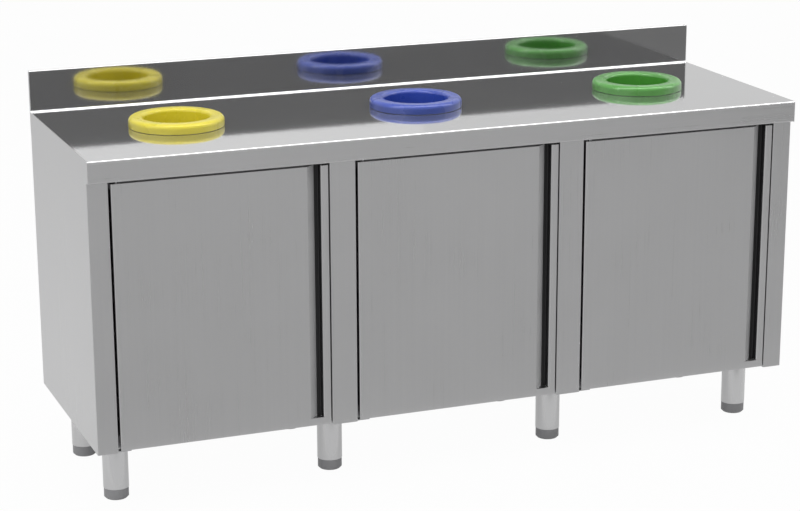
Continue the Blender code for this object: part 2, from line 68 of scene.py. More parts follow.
# Worktop
FASCIA_RETURN = 0.026
UPSTAND_HEIGHT = 0.102
UPSTAND_THICKNESS = 0.007
COVE_RADIUS = 0.0042
FRONT_EDGE_RADIUS = 0.0045
CUTOUT_RADIUS = 0.0828
CUTTER_REACH = 4 * SHEET
END_EDGE = 0.0005

# Throat collars
THROAT_RADIUS = 0.079
COLLAR_HEIGHT = 0.024
COLLAR_BULGE = 0.0118
COLLAR_FOOT_ROUND = 0.001
COLLAR_SEAT = 0.002
COLLAR_ROUND = 0.009
COLLAR_WALL = 0.003
COLLAR_STEPS = 10
COLLAR_SEGMENTS = 128
THROAT_EDGE = THROAT_RADIUS + COLLAR_ROUND / 3

# Doors
LIP_WIDTH = 0.0195
CHANNEL_WIDTH = 0.033
CHANNEL_FLOOR = 0.010
CHANNEL_DEPTH = 0.020
CHANNEL_STOP = 0.018
END_PLATE_INSET = 0.0002

# Door pivots
PIVOT_INSET = 0.016
PIN_RADIUS = 0.004
PIN_BORE = 0.0043
PIN_CHAMFER = 0.0008
HINGE_PLATE = 0.003
PLATE_EDGE = 0.0005
WASHER_RADIUS = 0.0075
WASHER_THICKNESS = 0.0009

# Door catches, with the poles' levels as shares of the catch's height
CATCH_EDGE = 0.0015
POLE_PROUD = 0.0004
POLE_MARGIN = 0.006
POLE_THICKNESS = 0.0018
POLE_DEPTH = 0.003
POLE_EDGE = 0.0003
POLE_LEVELS = (0.28, 0.72)
STRIKE_THICKNESS = 0.0003

# Rivets, with the dome as shares of their radius and height
RIVET_RADIUS = 0.0032
RIVET_HEIGHT = 0.0008
RIVET_DOME = ((0.0, 1.0), (0.5, 0.92), (0.75, 0.7), (1.0, 0.0))
RIVETS_IN_A_ROW = 5
RIVET_MARGIN = 0.010
BACK_RIVET_MARGIN = 0.040

# Waste bins, with the bead's level as a share of the bin's height
BIN_WALL = 0.003
BIN_TAPER = 0.030
BIN_CORNER = 0.050
BIN_CORNER_STEPS = 10
BIN_FOOT_ROUND = 0.015
BIN_FOOT_STEPS = 6
BIN_RIM = 0.014
BIN_RIM_DROP = 0.012
BIN_EDGE = 0.001
BIN_BEAD_LEVEL = 0.82
BIN_BEAD = 0.0025

# Legs and feet
LEG_RADIUS = 0.0305
LEG_WALL = 0.002
LEG_PLATE = 0.004
LEG_EDGE = 0.0006
LEG_WELD = 0.003
LEG_WELD_STEPS = 5
LEG_SEGMENTS = 96
FOOT_HEIGHT = 0.026
FOOT_CHAMFER = 0.004
PAD_EDGE = 0.0003
PLUG_PLAY = 0.0003
THREAD_PITCH = 0.003
THREAD_DEPTH = 0.001

# Leg bolts, with the chamfer's start and the face as shares of the head's height and radius
BOLT_RADIUS = 0.0045
BOLT_HEIGHT = 0.0035
BOLT_CHAMFER_START = 0.8
BOLT_FACE = 0.86
BOLT_SIDES = 6
BOLTS_PER_LEG = 3
FIRST_BOLT_TURN = 0.25

# Surface patterns in waves a metre, with the grain's run along its grinding lines
GRAIN_FINE = 1100.0
GRAIN_FINE_RUN = 3.0
GRAIN_COARSE = 170.0
GRAIN_COARSE_RUN = 1.2
POLISH_CLOUD = 5.0
COLOUR_DRIFT = 14.0
CHIP_SCALE = 260.0

# Surface patterns: noise detail, shares in a mix, and how far they are spread
FINE_DETAIL = 2.0
COARSE_DETAIL = 3.0
COARSE_SHARE = 0.45
CLOUD_SHARE = 0.35
PATTERN_LOW = 0.3
PATTERN_HIGH = 0.7
ROUGHNESS_DRIFT = 0.15
DRIFT_DARK = 0.95
DRIFT_LIGHT = 1.04

# How far up a surface faces where its painted shade is deepest, and where it has none and is the full colour
SHADE_DEEPEST_FACING = -0.6
SHADE_FREE_FACING = 0.7

# Photograph's camera: image in pixels, sensor in millimetres, place in metres
IMAGE_WIDTH = 800
IMAGE_HEIGHT = 511
FOCAL_PIXELS = 2264.6
OPTICAL_CENTRE = (430.0, 295.0)
SENSOR_WIDTH = 36.0
CAMERA_PLACE = (-2.0161, -5.1094, 1.9831)
CAMERA_YAW = math.radians(21.8743)
CAMERA_PITCH = math.radians(16.4161)


# Shader helpers

def new_material(name):
    """A material with its nodes, links and main shader."""
    material = bpy.data.materials.new(name)
    material.use_nodes = True
    tree = material.node_tree
    return material, tree.nodes, tree.links, tree.nodes["Principled BSDF"]


def stretched_noise(nodes, links, stretch, detail):
    """Noise in the piece's own coordinates, with so many waves a metre along each axis."""
    place = nodes.new("ShaderNodeTexCoord")
    mapping = nodes.new("ShaderNodeMapping")
    mapping.inputs["Scale"].default_value = stretch
    links.new(place.outputs["Object"], mapping.inputs["Vector"])
    noise = nodes.new("ShaderNodeTexNoise")
    noise.inputs["Scale"].default_value = 1.0
    noise.inputs["Detail"].default_value = detail
    links.new(mapping.outputs["Vector"], noise.inputs["Vector"])
    return noise.outputs["Fac"]


def blended(nodes, links, first, second, share):
    """A mix of two grey patterns."""
    mix = nodes.new("ShaderNodeMix")
    mix.data_type = "FLOAT"
    mix.inputs["Factor"].default_value = share
    links.new(first, mix.inputs["A"])
    links.new(second, mix.inputs["B"])
    return mix.outputs["Result"]


def uneven(nodes, links, pattern, roughness):
    """A roughness that drifts a little with the middle range of a pattern."""
    ramp = nodes.new("ShaderNodeMapRange")
    ramp.inputs["From Min"].default_value = PATTERN_LOW
    ramp.inputs["From Max"].default_value = PATTERN_HIGH
    ramp.inputs["To Min"].default_value = roughness * (1.0 - ROUGHNESS_DRIFT)
    ramp.inputs["To Max"].default_value = roughness * (1.0 + ROUGHNESS_DRIFT)
    links.new(pattern, ramp.inputs["Value"])
    return ramp.outputs["Result"]


def tinted(nodes, links, pattern, dark, light):
    """The middle range of a pattern, coloured between two near colours."""
    ramp = nodes.new("ShaderNodeValToRGB")
    ramp.color_ramp.elements[0].position = PATTERN_LOW
    ramp.color_ramp.elements[0].color = (*dark, 1.0)
    ramp.color_ramp.elements[1].position = PATTERN_HIGH
    ramp.color_ramp.elements[1].color = (*light, 1.0)
    links.new(pattern, ramp.inputs["Fac"])
    return ramp.outputs["Color"]


def shade(colour, factor):
    """A colour made darker or lighter."""
    return tuple(channel * factor for channel in colour)


def painted_shade_below(nodes, links, colours, deep):
    """Painted shade: colours that darken to the deep colour as the surface turns from facing up to facing
    down, for the shade on a collar's sides and underside.
    """
    geometry = nodes.new("ShaderNodeNewGeometry")
    axes = nodes.new("ShaderNodeSeparateXYZ")
    links.new(geometry.outputs["Normal"], axes.inputs["Vector"])
    ramp = nodes.new("ShaderNodeMapRange")
    ramp.inputs["From Min"].default_value = SHADE_DEEPEST_FACING
    ramp.inputs["From Max"].default_value = SHADE_FREE_FACING
    links.new(axes.outputs["Z"], ramp.inputs["Value"])
    mix = nodes.new("ShaderNodeMix")
    mix.data_type = "RGBA"
    mix.inputs["A"].default_value = (*deep, 1.0)
    links.new(ramp.outputs["Result"], mix.inputs["Factor"])
    links.new(colours, mix.inputs["B"])
    return mix.outputs["Result"]


def bump(nodes, links, pattern, depth, shader):
    """Small relief on a shader, as deep as given."""
    node = nodes.new("ShaderNodeBump")
    node.inputs["Strength"].default_value = 1.0
    node.inputs["Distance"].default_value = depth
    links.new(pattern, node.inputs["Height"])
    links.new(node.outputs["Normal"], shader.inputs["Normal"])


# Finishes

ALONG_X = (1.0, 0.0, 0.0)
ALONG_Z = (0.0, 0.0, 1.0)


def steel(name, colour, roughness, grain, contrast, depth, metallic=1.0):
    """Stainless steel with fine grinding lines along one axis and a faintly uneven polish."""
    material, nodes, links, shader = new_material(name)
    fine_scale = [GRAIN_FINE_RUN if along else GRAIN_FINE for along in grain]
    coarse_scale = [GRAIN_COARSE_RUN if along else GRAIN_COARSE for along in grain]
    fine = stretched_noise(nodes, links, fine_scale, FINE_DETAIL)
    coarse = stretched_noise(nodes, links, coarse_scale, COARSE_DETAIL)
    lines = blended(nodes, links, fine, coarse, COARSE_SHARE)
    cloud = stretched_noise(nodes, links, [POLISH_CLOUD] * 3, COARSE_DETAIL)
    worn = blended(nodes, links, lines, cloud, CLOUD_SHARE)
    colours = tinted(nodes, links, worn, shade(colour, 1.0 - contrast), shade(colour, 1.0 + contrast))
    links.new(colours, shader.inputs["Base Color"])
    links.new(uneven(nodes, links, worn, roughness), shader.inputs["Roughness"])
    shader.inputs["Metallic"].default_value = metallic
    bump(nodes, links, lines, depth, shader)
    return material


def plastic(name, colour, roughness, grain_size, depth, deep=None, gloss=0.0):
    """Moulded plastic with a fine skin texture and slight colour drift, and, when a deep colour is given,
    painted shade where the surface faces sideways and down.
    """
    material, nodes, links, shader = new_material(name)
    texture = stretched_noise(nodes, links, [1.0 / grain_size] * 3, FINE_DETAIL)
    drift = stretched_noise(nodes, links, [COLOUR_DRIFT] * 3, COARSE_DETAIL)
    colours = tinted(nodes, links, drift, shade(colour, DRIFT_DARK), shade(colour, DRIFT_LIGHT))
    # Painted shade: with a deep colour given, the colour darkens as the surface turns to face down.
    if deep:
        colours = painted_shade_below(nodes, links, colours, deep)
    links.new(colours, shader.inputs["Base Color"])
    links.new(uneven(nodes, links, drift, roughness), shader.inputs["Roughness"])
    shader.inputs["Coat Weight"].default_value = gloss
    shader.inputs["Coat Roughness"].default_value = roughness
    bump(nodes, links, texture, depth, shader)
    return material


def collar_plastics(name, colour, deep, gloss):
    """Glossy plastic in one colour: with painted shade on the sides and underside for a collar's outside,
    and without it for its throat.
    """
    moulded = dict(colour=colour, roughness=0.28, grain_size=0.0016, depth=0.000015, gloss=gloss)
    return [plastic(name, deep=deep, **moulded), plastic(f"{name}_inside", **moulded)]


def chipboard(name, dark, light, roughness, depth):
    """Raw particle board: pressed chips of unlike tone."""
    material, nodes, links, shader = new_material(name)
    place = nodes.new("ShaderNodeTexCoord")
    chips = nodes.new("ShaderNodeTexVoronoi")
    chips.inputs["Scale"].default_value = CHIP_SCALE
    links.new(place.outputs["Object"], chips.inputs["Vector"])
    tone = nodes.new("ShaderNodeSeparateColor")
    links.new(chips.outputs["Color"], tone.inputs["Color"])
    colours = tinted(nodes, links, tone.outputs["Red"], dark, light)
    links.new(colours, shader.inputs["Base Color"])
    shader.inputs["Roughness"].default_value = roughness
    bump(nodes, links, chips.outputs["Distance"], depth, shader)
    return material


MIRROR = dict(colour=(0.66, 0.66, 0.665), roughness=0.07, contrast=0.02, depth=0.0000003)
SATIN = dict(colour=(0.56, 0.56, 0.565), roughness=0.30, contrast=0.03, depth=0.000004)
MILL = dict(colour=(0.50, 0.50, 0.51), roughness=0.38, contrast=0.05, depth=0.000004)
TUBE = dict(colour=(0.58, 0.58, 0.585), roughness=0.16, contrast=0.03, depth=0.000001)

POLISHED = steel("polished_steel", grain=ALONG_X, **MIRROR)
HAZY = steel("hazy_steel", grain=ALONG_X, metallic=0.88, **MIRROR)
SATIN_UPRIGHT = steel("satin_steel_upright", grain=ALONG_Z, **SATIN)
SATIN_ALONG = steel("satin_steel_along", grain=ALONG_X, **SATIN)
MILL_ALONG = steel("mill_steel_along", grain=ALONG_X, **MILL)
MILL_UPRIGHT = steel("mill_steel_upright", grain=ALONG_Z, **MILL)
TUBE_STEEL = steel("tube_steel", grain=ALONG_Z, **TUBE)

# Each collar's deep colour is its painted shade, which its outside turns to where it faces sideways and
# down.
YELLOW = dict(colour=(0.91, 0.78, 0.045), deep=(0.25, 0.225, 0.05), gloss=0.25)
BLUE = dict(colour=(0.040, 0.088, 0.50), deep=(0.018, 0.030, 0.085), gloss=0.55)
GREEN = dict(colour=(0.09, 0.39, 0.05), deep=(0.06, 0.15, 0.045), gloss=0.65)

THROAT_PLASTICS = {
    "left": collar_plastics("yellow_plastic", **YELLOW),
    "middle": collar_plastics("blue_plastic", **BLUE),
    "right": collar_plastics("green_plastic", **GREEN),
}

BIN_PLASTIC = plastic(
    "bin_plastic", colour=(0.20, 0.21, 0.22), roughness=0.50, grain_size=0.0012, depth=0.00004
)
FOOT_PLASTIC = plastic(
    "foot_plastic", colour=(0.335, 0.335, 0.345), roughness=0.45, grain_size=0.0010, depth=0.00003
)
# Painted shade: a near-black finish for the finger channels' lip walls and floors, standing in for the
# shadow inside the recess.
CHANNEL_PAINTED_SHADE = plastic(
    "channel_painted_shade", colour=(0.012, 0.012, 0.013), roughness=0.50, grain_size=0.0010, depth=0.00003
)
CHANNEL_GREY = plastic(
    "channel_grey", colour=(0.50, 0.50, 0.505), roughness=0.60, grain_size=0.0012, depth=0.00002
)
CATCH_PLASTIC = plastic(
    "catch_plastic", colour=(0.70, 0.70, 0.68), roughness=0.40, grain_size=0.0010, depth=0.00002
)
CHIPBOARD = chipboard(
    "chipboard", dark=(0.33, 0.22, 0.12), light=(0.62, 0.48, 0.31), roughness=0.75, depth=0.0004
)


# Mesh helpers

def mesh_from(name, bm):
    """A mesh that is smooth except across its sharper edges."""
    mesh = bpy.data.meshes.new(name)
    bm.to_mesh(mesh)
    bm.free()
    mesh.shade_smooth()
    mesh.set_sharp_from_angle(angle=SMOOTH_ANGLE)
    return mesh


def put(name, bm, body, materials, stands_for=()):
    """Add a surface that is drawn in place as a piece that rides on a body."""
    mesh = mesh_from(name, bm)
    obj = bpy.data.objects.new(name, mesh)
    bpy.context.scene.collection.objects.link(obj)
    for material in materials:
        mesh.materials.append(material)
    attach(obj, body)
    if stands_for:
        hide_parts(*stands_for)
    return obj


def even_shading(obj):
    """Keep large flat faces flat in the shading beside their small folds."""
    modifier = obj.modifiers.new("even_shading", "WEIGHTED_NORMAL")
    modifier.mode = "FACE_AREA"
    modifier.weight = FLAT_WEIGHT
    modifier.keep_sharp = True


def thicken(obj, thickness):
    """Give an open sheet its thickness, behind its outer face."""
    modifier = obj.modifiers.new("thickness", "SOLIDIFY")
    modifier.thickness = thickness
    modifier.offset = -1.0
    modifier.use_even_offset = True


def rounded(corners, radii, steps=FOLD_STEPS):
    """Points of an open path whose inner corners become arcs of the given radii."""
    corners = [Vector(corner) for corner in corners]
    points = [corners[0]]
    for before, corner, after, radius in zip(corners, corners[1:], corners[2:], radii):
        back = (before - corner).normalized()
        ahead = (after - corner).normalized()
        half = back.angle(ahead) / 2
        start = corner + back * (radius / math.tan(half))
        centre = corner + (back + ahead).normalized() * (radius / math.sin(half))
        arm = start - centre
        sweep = math.copysign(math.pi - 2 * half, back.y * ahead.x - back.x * ahead.y)
        for step in range(steps + 1):
            turn = Matrix.Rotation(sweep * step / steps, 2)
            points.append(centre + turn @ arm)
    points.append(corners[-1])
    return points


def in_profile_plane(point, along):
    """A point of a profile drawn in Y and Z, at a place along X."""
    return Vector((along, point[0], point[1]))


def in_plan(point, along):
    """A point of a profile drawn in X and Y, at a level along Z."""
    return Vector((point[0], point[1], along))


def draw_out(bm, points, place, span):
    """Draw a path out along a span as an open sheet whose outer face is on the path's left."""
    chains = [[bm.verts.new(place(point, along)) for point in points] for along in span]
    faces = []
    for first, second, third, fourth in zip(chains[0], chains[0][1:], chains[1][1:], chains[1]):
        faces.append(bm.faces.new((first, second, third, fourth)))
    draw = place((0.0, 0.0), span[1]) - place((0.0, 0.0), span[0])
    outward = draw.cross(place(points[1], 0.0) - place(points[0], 0.0))
    bm.normal_update()
    if faces[0].normal.dot(outward) < 0.0:
        bmesh.ops.reverse_faces(bm, faces=faces)
    return faces


def folded(name, corners, place, span, body, material, stands_for):
    """A folded sheet as a piece."""
    bm = bmesh.new()
    draw_out(bm, rounded(corners, [FOLD_RADIUS] * (len(corners) - 2)), place, span)
    obj = put(name, bm, body, [material], stands_for)
    thicken(obj, SHEET)
    even_shading(obj)


def skin(bm, loops, ring=False):
    """Join loops of points into a surface. A loop of one point closes an end."""
    rows = [[bm.verts.new(point) for point in loop] for loop in loops]
    pairs = list(zip(rows, rows[1:]))
    if ring:
        pairs.append((rows[-1], rows[0]))
    faces = []
    for first, second in pairs:
        count = max(len(first), len(second))
        for step in range(count):
            ahead = (step + 1) % count
            near = (first[step % len(first)], first[ahead % len(first)])
            far = (second[ahead % len(second)], second[step % len(second)])
            faces.append(bm.faces.new(tuple(dict.fromkeys(near + far))))
    bmesh.ops.recalc_face_normals(bm, faces=faces)
    return rows


UPRIGHT = Matrix.Identity(3)
BACKWARD = Matrix.Rotation(-math.pi / 2, 3, "X")


def lathe(bm, profile, centre, segments, ring=False, stand=UPRIGHT):
    """Turn a profile of radius and height pairs round an axis through a centre."""
    turns = [Matrix.Rotation(math.tau * step / segments, 3, "Z") for step in range(segments)]
    loops = []
    for radius, height in profile:
        arm = Vector((radius, 0.0, height))
        used = turns if radius > 0.0 else turns[:1]
        loops.append([Vector(centre) + stand @ (turn @ arm) for turn in used])
    skin(bm, loops, ring)


def prism(bm, outline, place, span):
    """A solid drawn out from a closed outline."""
    rows = skin(bm, [[place(point, along) for point in outline] for along in span])
    for row in rows:
        bm.faces.new(row)
    bmesh.ops.recalc_face_normals(bm, faces=bm.faces)
    return rows


def round_edges(bm, edges, width):
    """Round edges over."""
    bmesh.ops.bevel(
        bm, geom=edges, offset=width, segments=EDGE_STEPS, profile=ROUND_EDGE, affect="EDGES"
    )


def block(bm, low, high, edge):
    """A box with rounded edges."""
    size = Vector(high) - Vector(low)
    verts = bmesh.ops.create_cube(bm, size=1.0)["verts"]
    bmesh.ops.scale(bm, vec=size, verts=verts)
    bmesh.ops.translate(bm, vec=Vector(low) + size / 2, verts=verts)
    round_edges(bm, list({item for vert in verts for item in vert.link_edges}), edge)


def drilled_plate(bm, outline, hole, radius, span):
    """A flat plate with one round hole through it."""
    angles = [math.tau * step / FITTING_SEGMENTS for step in range(FITTING_SEGMENTS)]
    circle = [(hole.x + radius * math.cos(angle), hole.y + radius * math.sin(angle)) for angle in angles]
    edges = []
    for loop in (outline, circle):
        verts = [bm.verts.new((x, y, span[0])) for x, y in loop]
        edges += [bm.edges.new(pair) for pair in zip(verts, verts[1:] + verts[:1])]
    filled = bmesh.ops.triangle_fill(bm, edges=edges, use_beauty=True)["geom"]
    faces = [item for item in filled if isinstance(item, bmesh.types.BMFace)]
    raised = bmesh.ops.extrude_face_region(bm, geom=faces)["geom"]
    moved = [item for item in raised if isinstance(item, bmesh.types.BMVert)]
    bmesh.ops.translate(bm, vec=(0.0, 0.0, span[1] - span[0]), verts=moved)
    bmesh.ops.recalc_face_normals(bm, faces=bm.faces)


def middle(node):
    """The middle of a node's box."""
    low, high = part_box(node)
    return (low + high) / 2


def spaced(start, stop, count):
    """Places at even steps from a start to a stop."""
    return [start + (stop - start) * step / (count - 1) for step in range(count)]


# Worktop

def worktop_path():
    """Corners and fold radii of the worktop's section, from the fascia's return to the rear skirt."""
    low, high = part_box("worktop")
    top = high.z - UPSTAND_HEIGHT
    upstand = high.y - UPSTAND_THICKNESS
    corners = [
        (low.y + FASCIA_RETURN, low.z),
        (low.y, low.z),
        (low.y, top),
        (upstand, top),
        (upstand, high.z),
        (high.y, high.z),
        (high.y, low.z),
    ]
    return corners, [FOLD_RADIUS, FRONT_EDGE_RADIUS, COVE_RADIUS, FOLD_RADIUS, FOLD_RADIUS]


def make_worktop():
    """One sheet: satin fascia and rear skirt, polished folds and upstand, hazy top with its cut-outs."""
    corners, radii = worktop_path()
    span = (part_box("left_worktop_end")[1].x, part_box("right_worktop_end")[0].x)
    bm = bmesh.new()
    faces = draw_out(bm, rounded(corners, radii), in_profile_plane, span)
    fascia_return = faces[0]
    fascia = faces[FOLD_POINTS]
    top = faces[2 * FOLD_POINTS]
    skirt = faces[-1]
    for face in (fascia_return, fascia, skirt):
        face.material_index = 1
    top.material_index = 2
    finishes = [POLISHED, SATIN_ALONG, HAZY]
    obj = put("worktop_sheet", bm, "cabinet", finishes, ["worktop"])
    thicken(obj, SHEET)
    for bay in BAYS:
        cut_throat(obj, bay, corners[2][1])
    even_shading(obj)


def cut_throat(worktop, bay, top):
    """Cut the round hole for a collar through the worktop."""
    centre = middle(f"{bay}_throat_collar")
    drum = [
        (0.0, CUTTER_REACH),
        (CUTOUT_RADIUS, CUTTER_REACH),
        (CUTOUT_RADIUS, -CUTTER_REACH),
        (0.0, -CUTTER_REACH),
    ]
    bm = bmesh.new()
    lathe(bm, drum, (centre.x, centre.y, top), COLLAR_SEGMENTS)
    cutter = bpy.data.objects.new(f"{bay}_cutout", mesh_from(f"{bay}_cutout", bm))
    bpy.context.scene.collection.objects.link(cutter)
    cutter.hide_render = True
    cutter.hide_viewport = True
    modifier = worktop.modifiers.new(f"{bay}_cutout", "BOOLEAN")
    modifier.operation = "DIFFERENCE"
    modifier.solver = "EXACT"
    modifier.object = cutter


def make_ends():
    """Plates that close the worktop's ends, ground flush with the sides below them."""
    corners, radii = worktop_path()
    outline = rounded(corners[1:], radii[1:])
    for side in SIDES:
        node = f"{side}_worktop_end"
        low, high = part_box(node)
        bm = bmesh.new()
        rows = prism(bm, outline, in_profile_plane, (low.x, high.x))
        rim = rows[SIDES.index(side)]
        round_edges(bm, [bm.edges.get(pair) for pair in zip(rim, rim[1:])], END_EDGE)
        obj = put(f"{side}_end", bm, "cabinet", [SATIN_UPRIGHT], [node])
        even_shading(obj)


def collar_profile(radius, sleeve):
    """A collar's section: a hollow ring with a rounded top and straight side, and a sleeve below it."""
    foot = radius - COLLAR_FOOT_ROUND - COLLAR_SEAT
    outer = rounded(
        [
            (THROAT_RADIUS, -sleeve),
            (THROAT_RADIUS, COLLAR_HEIGHT),
            (radius, COLLAR_HEIGHT),
            (radius, 0.0),
            (foot, 0.0),
        ],
        [COLLAR_ROUND, COLLAR_BULGE, COLLAR_FOOT_ROUND],
        COLLAR_STEPS,
    )
    inside = THROAT_RADIUS + COLLAR_WALL
    ceiling = COLLAR_HEIGHT - COLLAR_WALL
    inner = [
        (foot, COLLAR_HEIGHT - COLLAR_BULGE),
        (radius - COLLAR_BULGE, ceiling),
        (inside + COLLAR_ROUND, ceiling),
        (inside, ceiling - COLLAR_ROUND),
        (inside, -sleeve),
    ]
    return [tuple(point) for point in outer] + inner


def make_collars():
    """Moulded collars, whose throats take their own copy of the plastic, without the painted shade."""
    for bay in BAYS:
        node = f"{bay}_throat_collar"
        low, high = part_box(node)
        centre = middle(node)
        profile = collar_profile((high.x - low.x) / 2, high.z - low.z - COLLAR_HEIGHT)
        bm = bmesh.new()
        lathe(bm, profile, (centre.x, centre.y, high.z - COLLAR_HEIGHT), COLLAR_SEGMENTS, ring=True)
        for face in bm.faces:
            arm = face.calc_center_median() - centre
            # Throat faces take the copy of the plastic without painted shade.
            if math.hypot(arm.x, arm.y) < THROAT_EDGE:
                face.material_index = 1
        put(f"{bay}_collar", bm, "cabinet", THROAT_PLASTICS[bay], [node])


# Carcass

def finish(material, *nodes):
    """Give a finish to solids that show as they are."""
    for node in nodes:
        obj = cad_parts[node]
        obj.data.materials.clear()
        obj.data.materials.append(material)


def finish_carcass():
    """Finishes of the back, partitions, door liners, rails, base and underlay."""
    finish(SATIN_ALONG, "back_panel")
    finish(MILL_UPRIGHT, "left_partition", "right_partition", *(f"{bay}_door_liner" for bay in BAYS))
    finish(MILL_ALONG, "front_rail", "rear_rail", "base_panel", "front_leg_rail", "rear_leg_rail")
    finish(CHIPBOARD, "worktop_underlay")


def make_sides():
    """Sides that fold round the front corner into the corner posts, and the posts between the doors."""
    panel_low, panel_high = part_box("left_side_panel")
    post_low, post_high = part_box("left_corner_post")
    height = (panel_low.z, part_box("left_worktop_end")[0].z)
    left = [
        (post_high.x, post_high.y),
        (post_high.x, post_low.y),
        (panel_low.x, post_low.y),
        (panel_low.x, panel_high.y),
        (panel_high.x, panel_high.y),
    ]
    right = [(-x, y) for x, y in reversed(left)]
    for side, corners in zip(SIDES, (left, right)):
        nodes = [f"{side}_side_panel", f"{side}_corner_post"]
        folded(f"{side}_side", corners, in_plan, height, "cabinet", SATIN_UPRIGHT, nodes)
        node = f"{side}_middle_post"
        low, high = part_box(node)
        corners = [(high.x, high.y), (high.x, low.y), (low.x, low.y), (low.x, high.y)]
        folded(f"{side}_post", corners, in_plan, height, "cabinet", SATIN_UPRIGHT, [node])


def rivet(bm, place):
    """A low domed rivet head that faces the back."""
    dome = [(RIVET_RADIUS * across, RIVET_HEIGHT * up) for across, up in RIVET_DOME]
    shank = [(RIVET_RADIUS, -SHEET), (0.0, -SHEET)]
    lathe(bm, dome + shank, place, FITTING_SEGMENTS, stand=BACKWARD)


def rivet_rows(bm, places_x, y, bottom, top):
    """Upright rows of rivets."""
    for level in spaced(bottom, top, RIVETS_IN_A_ROW):
        for x in places_x:
            rivet(bm, (x, y, level))


def make_back_rivets():
    """Rivets down the sides' rear returns."""
    low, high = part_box("left_side_panel")
    x = high.x - RIVET_MARGIN
    bm = bmesh.new()
    rivet_rows(bm, (x, -x), high.y, low.z + BACK_RIVET_MARGIN, high.z - BACK_RIVET_MARGIN)
    put("back_rivets", bm, "cabinet", [MILL_UPRIGHT])


# Doors

def channel_corners(low, high):
    """Corners of the finger channel's section, from the lip to the panel."""
    lip = high.x - LIP_WIDTH
    deep = low.y + CHANNEL_DEPTH
    return [(lip, low.y), (lip, deep), (lip - CHANNEL_FLOOR, deep), (lip - CHANNEL_WIDTH, low.y)]


def make_front(bay):
    """A folded door skin with a finger channel near its free edge, near-black at its lip wall and floor as
    painted shade.
    """
    low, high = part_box(f"{bay}_door_skin")
    sill = low.z + CHANNEL_STOP
    plain = [(high.x, high.y), (high.x, low.y), (low.x, low.y), (low.x, high.y)]
    corners = plain[:2] + channel_corners(low, high) + plain[2:]
    path = rounded(corners, [FOLD_RADIUS] * (len(corners) - 2))
    bm = bmesh.new()
    faces = draw_out(bm, path, in_plan, (sill, high.z))
    painted_shade_faces = faces[2 * FOLD_POINTS:4 * FOLD_POINTS]
    slope = faces[4 * FOLD_POINTS]
    lip_fold = faces[FOLD_POINTS + 1:2 * FOLD_POINTS]
    hinge_fold = faces[5 * FOLD_POINTS + 1:6 * FOLD_POINTS]
    # The channel's lip wall and floor take the near-black painted shade.
    for face in painted_shade_faces:
        face.material_index = 1
    slope.material_index = 2
    for face in lip_fold + hinge_fold:
        face.material_index = 3
    plain_path = path[:FOLD_POINTS + 2] + path[5 * FOLD_POINTS:]
    draw_out(bm, plain_path, in_plan, (low.z, sill))
    bmesh.ops.remove_doubles(bm, verts=bm.verts, dist=WELD_DISTANCE)
    finishes = [SATIN_UPRIGHT, CHANNEL_PAINTED_SHADE, CHANNEL_GREY, POLISHED]
    obj = put(f"{bay}_front", bm, f"{bay}_door", finishes, [f"{bay}_door_skin"])
    thicken(obj, SHEET)
    even_shading(obj)


def make_caps(bay):
    """Plates that close a door's ends, drilled for the pins, and the ledge at the channel's foot."""
    low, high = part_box(f"{bay}_door_skin")
    channel = channel_corners(low, high)
    lip, deep = channel[1]
    floor_end = channel[2][0]
    panel = channel[3][0]
    sill = low.z + CHANNEL_STOP
    pin = Vector((low.x + PIVOT_INSET, (low.y + high.y) / 2))
    front = low.y + SHEET
    back = high.y - SHEET
    left = low.x + SHEET
    right = high.x - SHEET
    half = SHEET / 2
    lower = [(left, front), (right, front), (right, back), (left, back)]
    notch = [
        (panel - half, front),
        (floor_end - half, deep + half),
        (lip + half, deep + half),
        (lip + half, front),
    ]
    upper = lower[:1] + notch + lower[1:]
    bm = bmesh.new()
    for outline, start in ((lower, low.z + END_PLATE_INSET), (upper, high.z - END_PLATE_INSET - SHEET)):
        drilled_plate(bm, outline, pin, PIN_BORE, (start, start + SHEET))
    ledge = [(panel, front), (lip, front), (lip, deep), (floor_end, deep)]
    prism(bm, ledge, in_plan, (sill - SHEET, sill))
    put(f"{bay}_caps", bm, f"{bay}_door", [SATIN_ALONG])


def make_liner_rivets(bay):
    """Rivets down both edges of a door's liner."""
    low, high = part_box(f"{bay}_door_liner")
    places_x = (low.x + RIVET_MARGIN, high.x - RIVET_MARGIN)
    bm = bmesh.new()
    rivet_rows(bm, places_x, high.y, low.z + RIVET_MARGIN, high.z - RIVET_MARGIN)
    put(f"{bay}_liner_rivets", bm, f"{bay}_door", [MILL_UPRIGHT])


def make_pivots(bay):
    """Pivot plates with a chamfered pin, and a washer that the door turns on."""
    pin_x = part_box(f"{bay}_door_skin")[0].x + PIVOT_INSET
    for end, up in (("lower", 1.0), ("upper", -1.0)):
        node = f"{bay}_door_{end}_pivot"
        low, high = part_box(node)
        foot, tip = (low.z, high.z) if end == "lower" else (high.z, low.z)
        seat = foot + up * HINGE_PLATE
        length = abs(tip - seat)
        place = (pin_x, (low.y + high.y) / 2, seat)
        pin = [
            (0.0, -PLATE_EDGE),
            (PIN_RADIUS, -PLATE_EDGE),
            (PIN_RADIUS, length - PIN_CHAMFER),
            (PIN_RADIUS - PIN_CHAMFER, length),
            (0.0, length),
        ]
        washer = [
            (PIN_BORE, 0.0),
            (WASHER_RADIUS, 0.0),
            (WASHER_RADIUS, WASHER_THICKNESS),
            (PIN_BORE, WASHER_THICKNESS),
        ]
        bm = bmesh.new()
        block(bm, (low.x, low.y, min(foot, seat)), (high.x, high.y, max(foot, seat)), PLATE_EDGE)
        lathe(bm, [(radius, up * height) for radius, height in pin], place, FITTING_SEGMENTS)
        lathe(bm, [(radius, up * height) for radius, height in washer], place, FITTING_SEGMENTS, ring=True)
        put(f"{bay}_{end}_hinge", bm, "cabinet", [MILL_ALONG], [node])


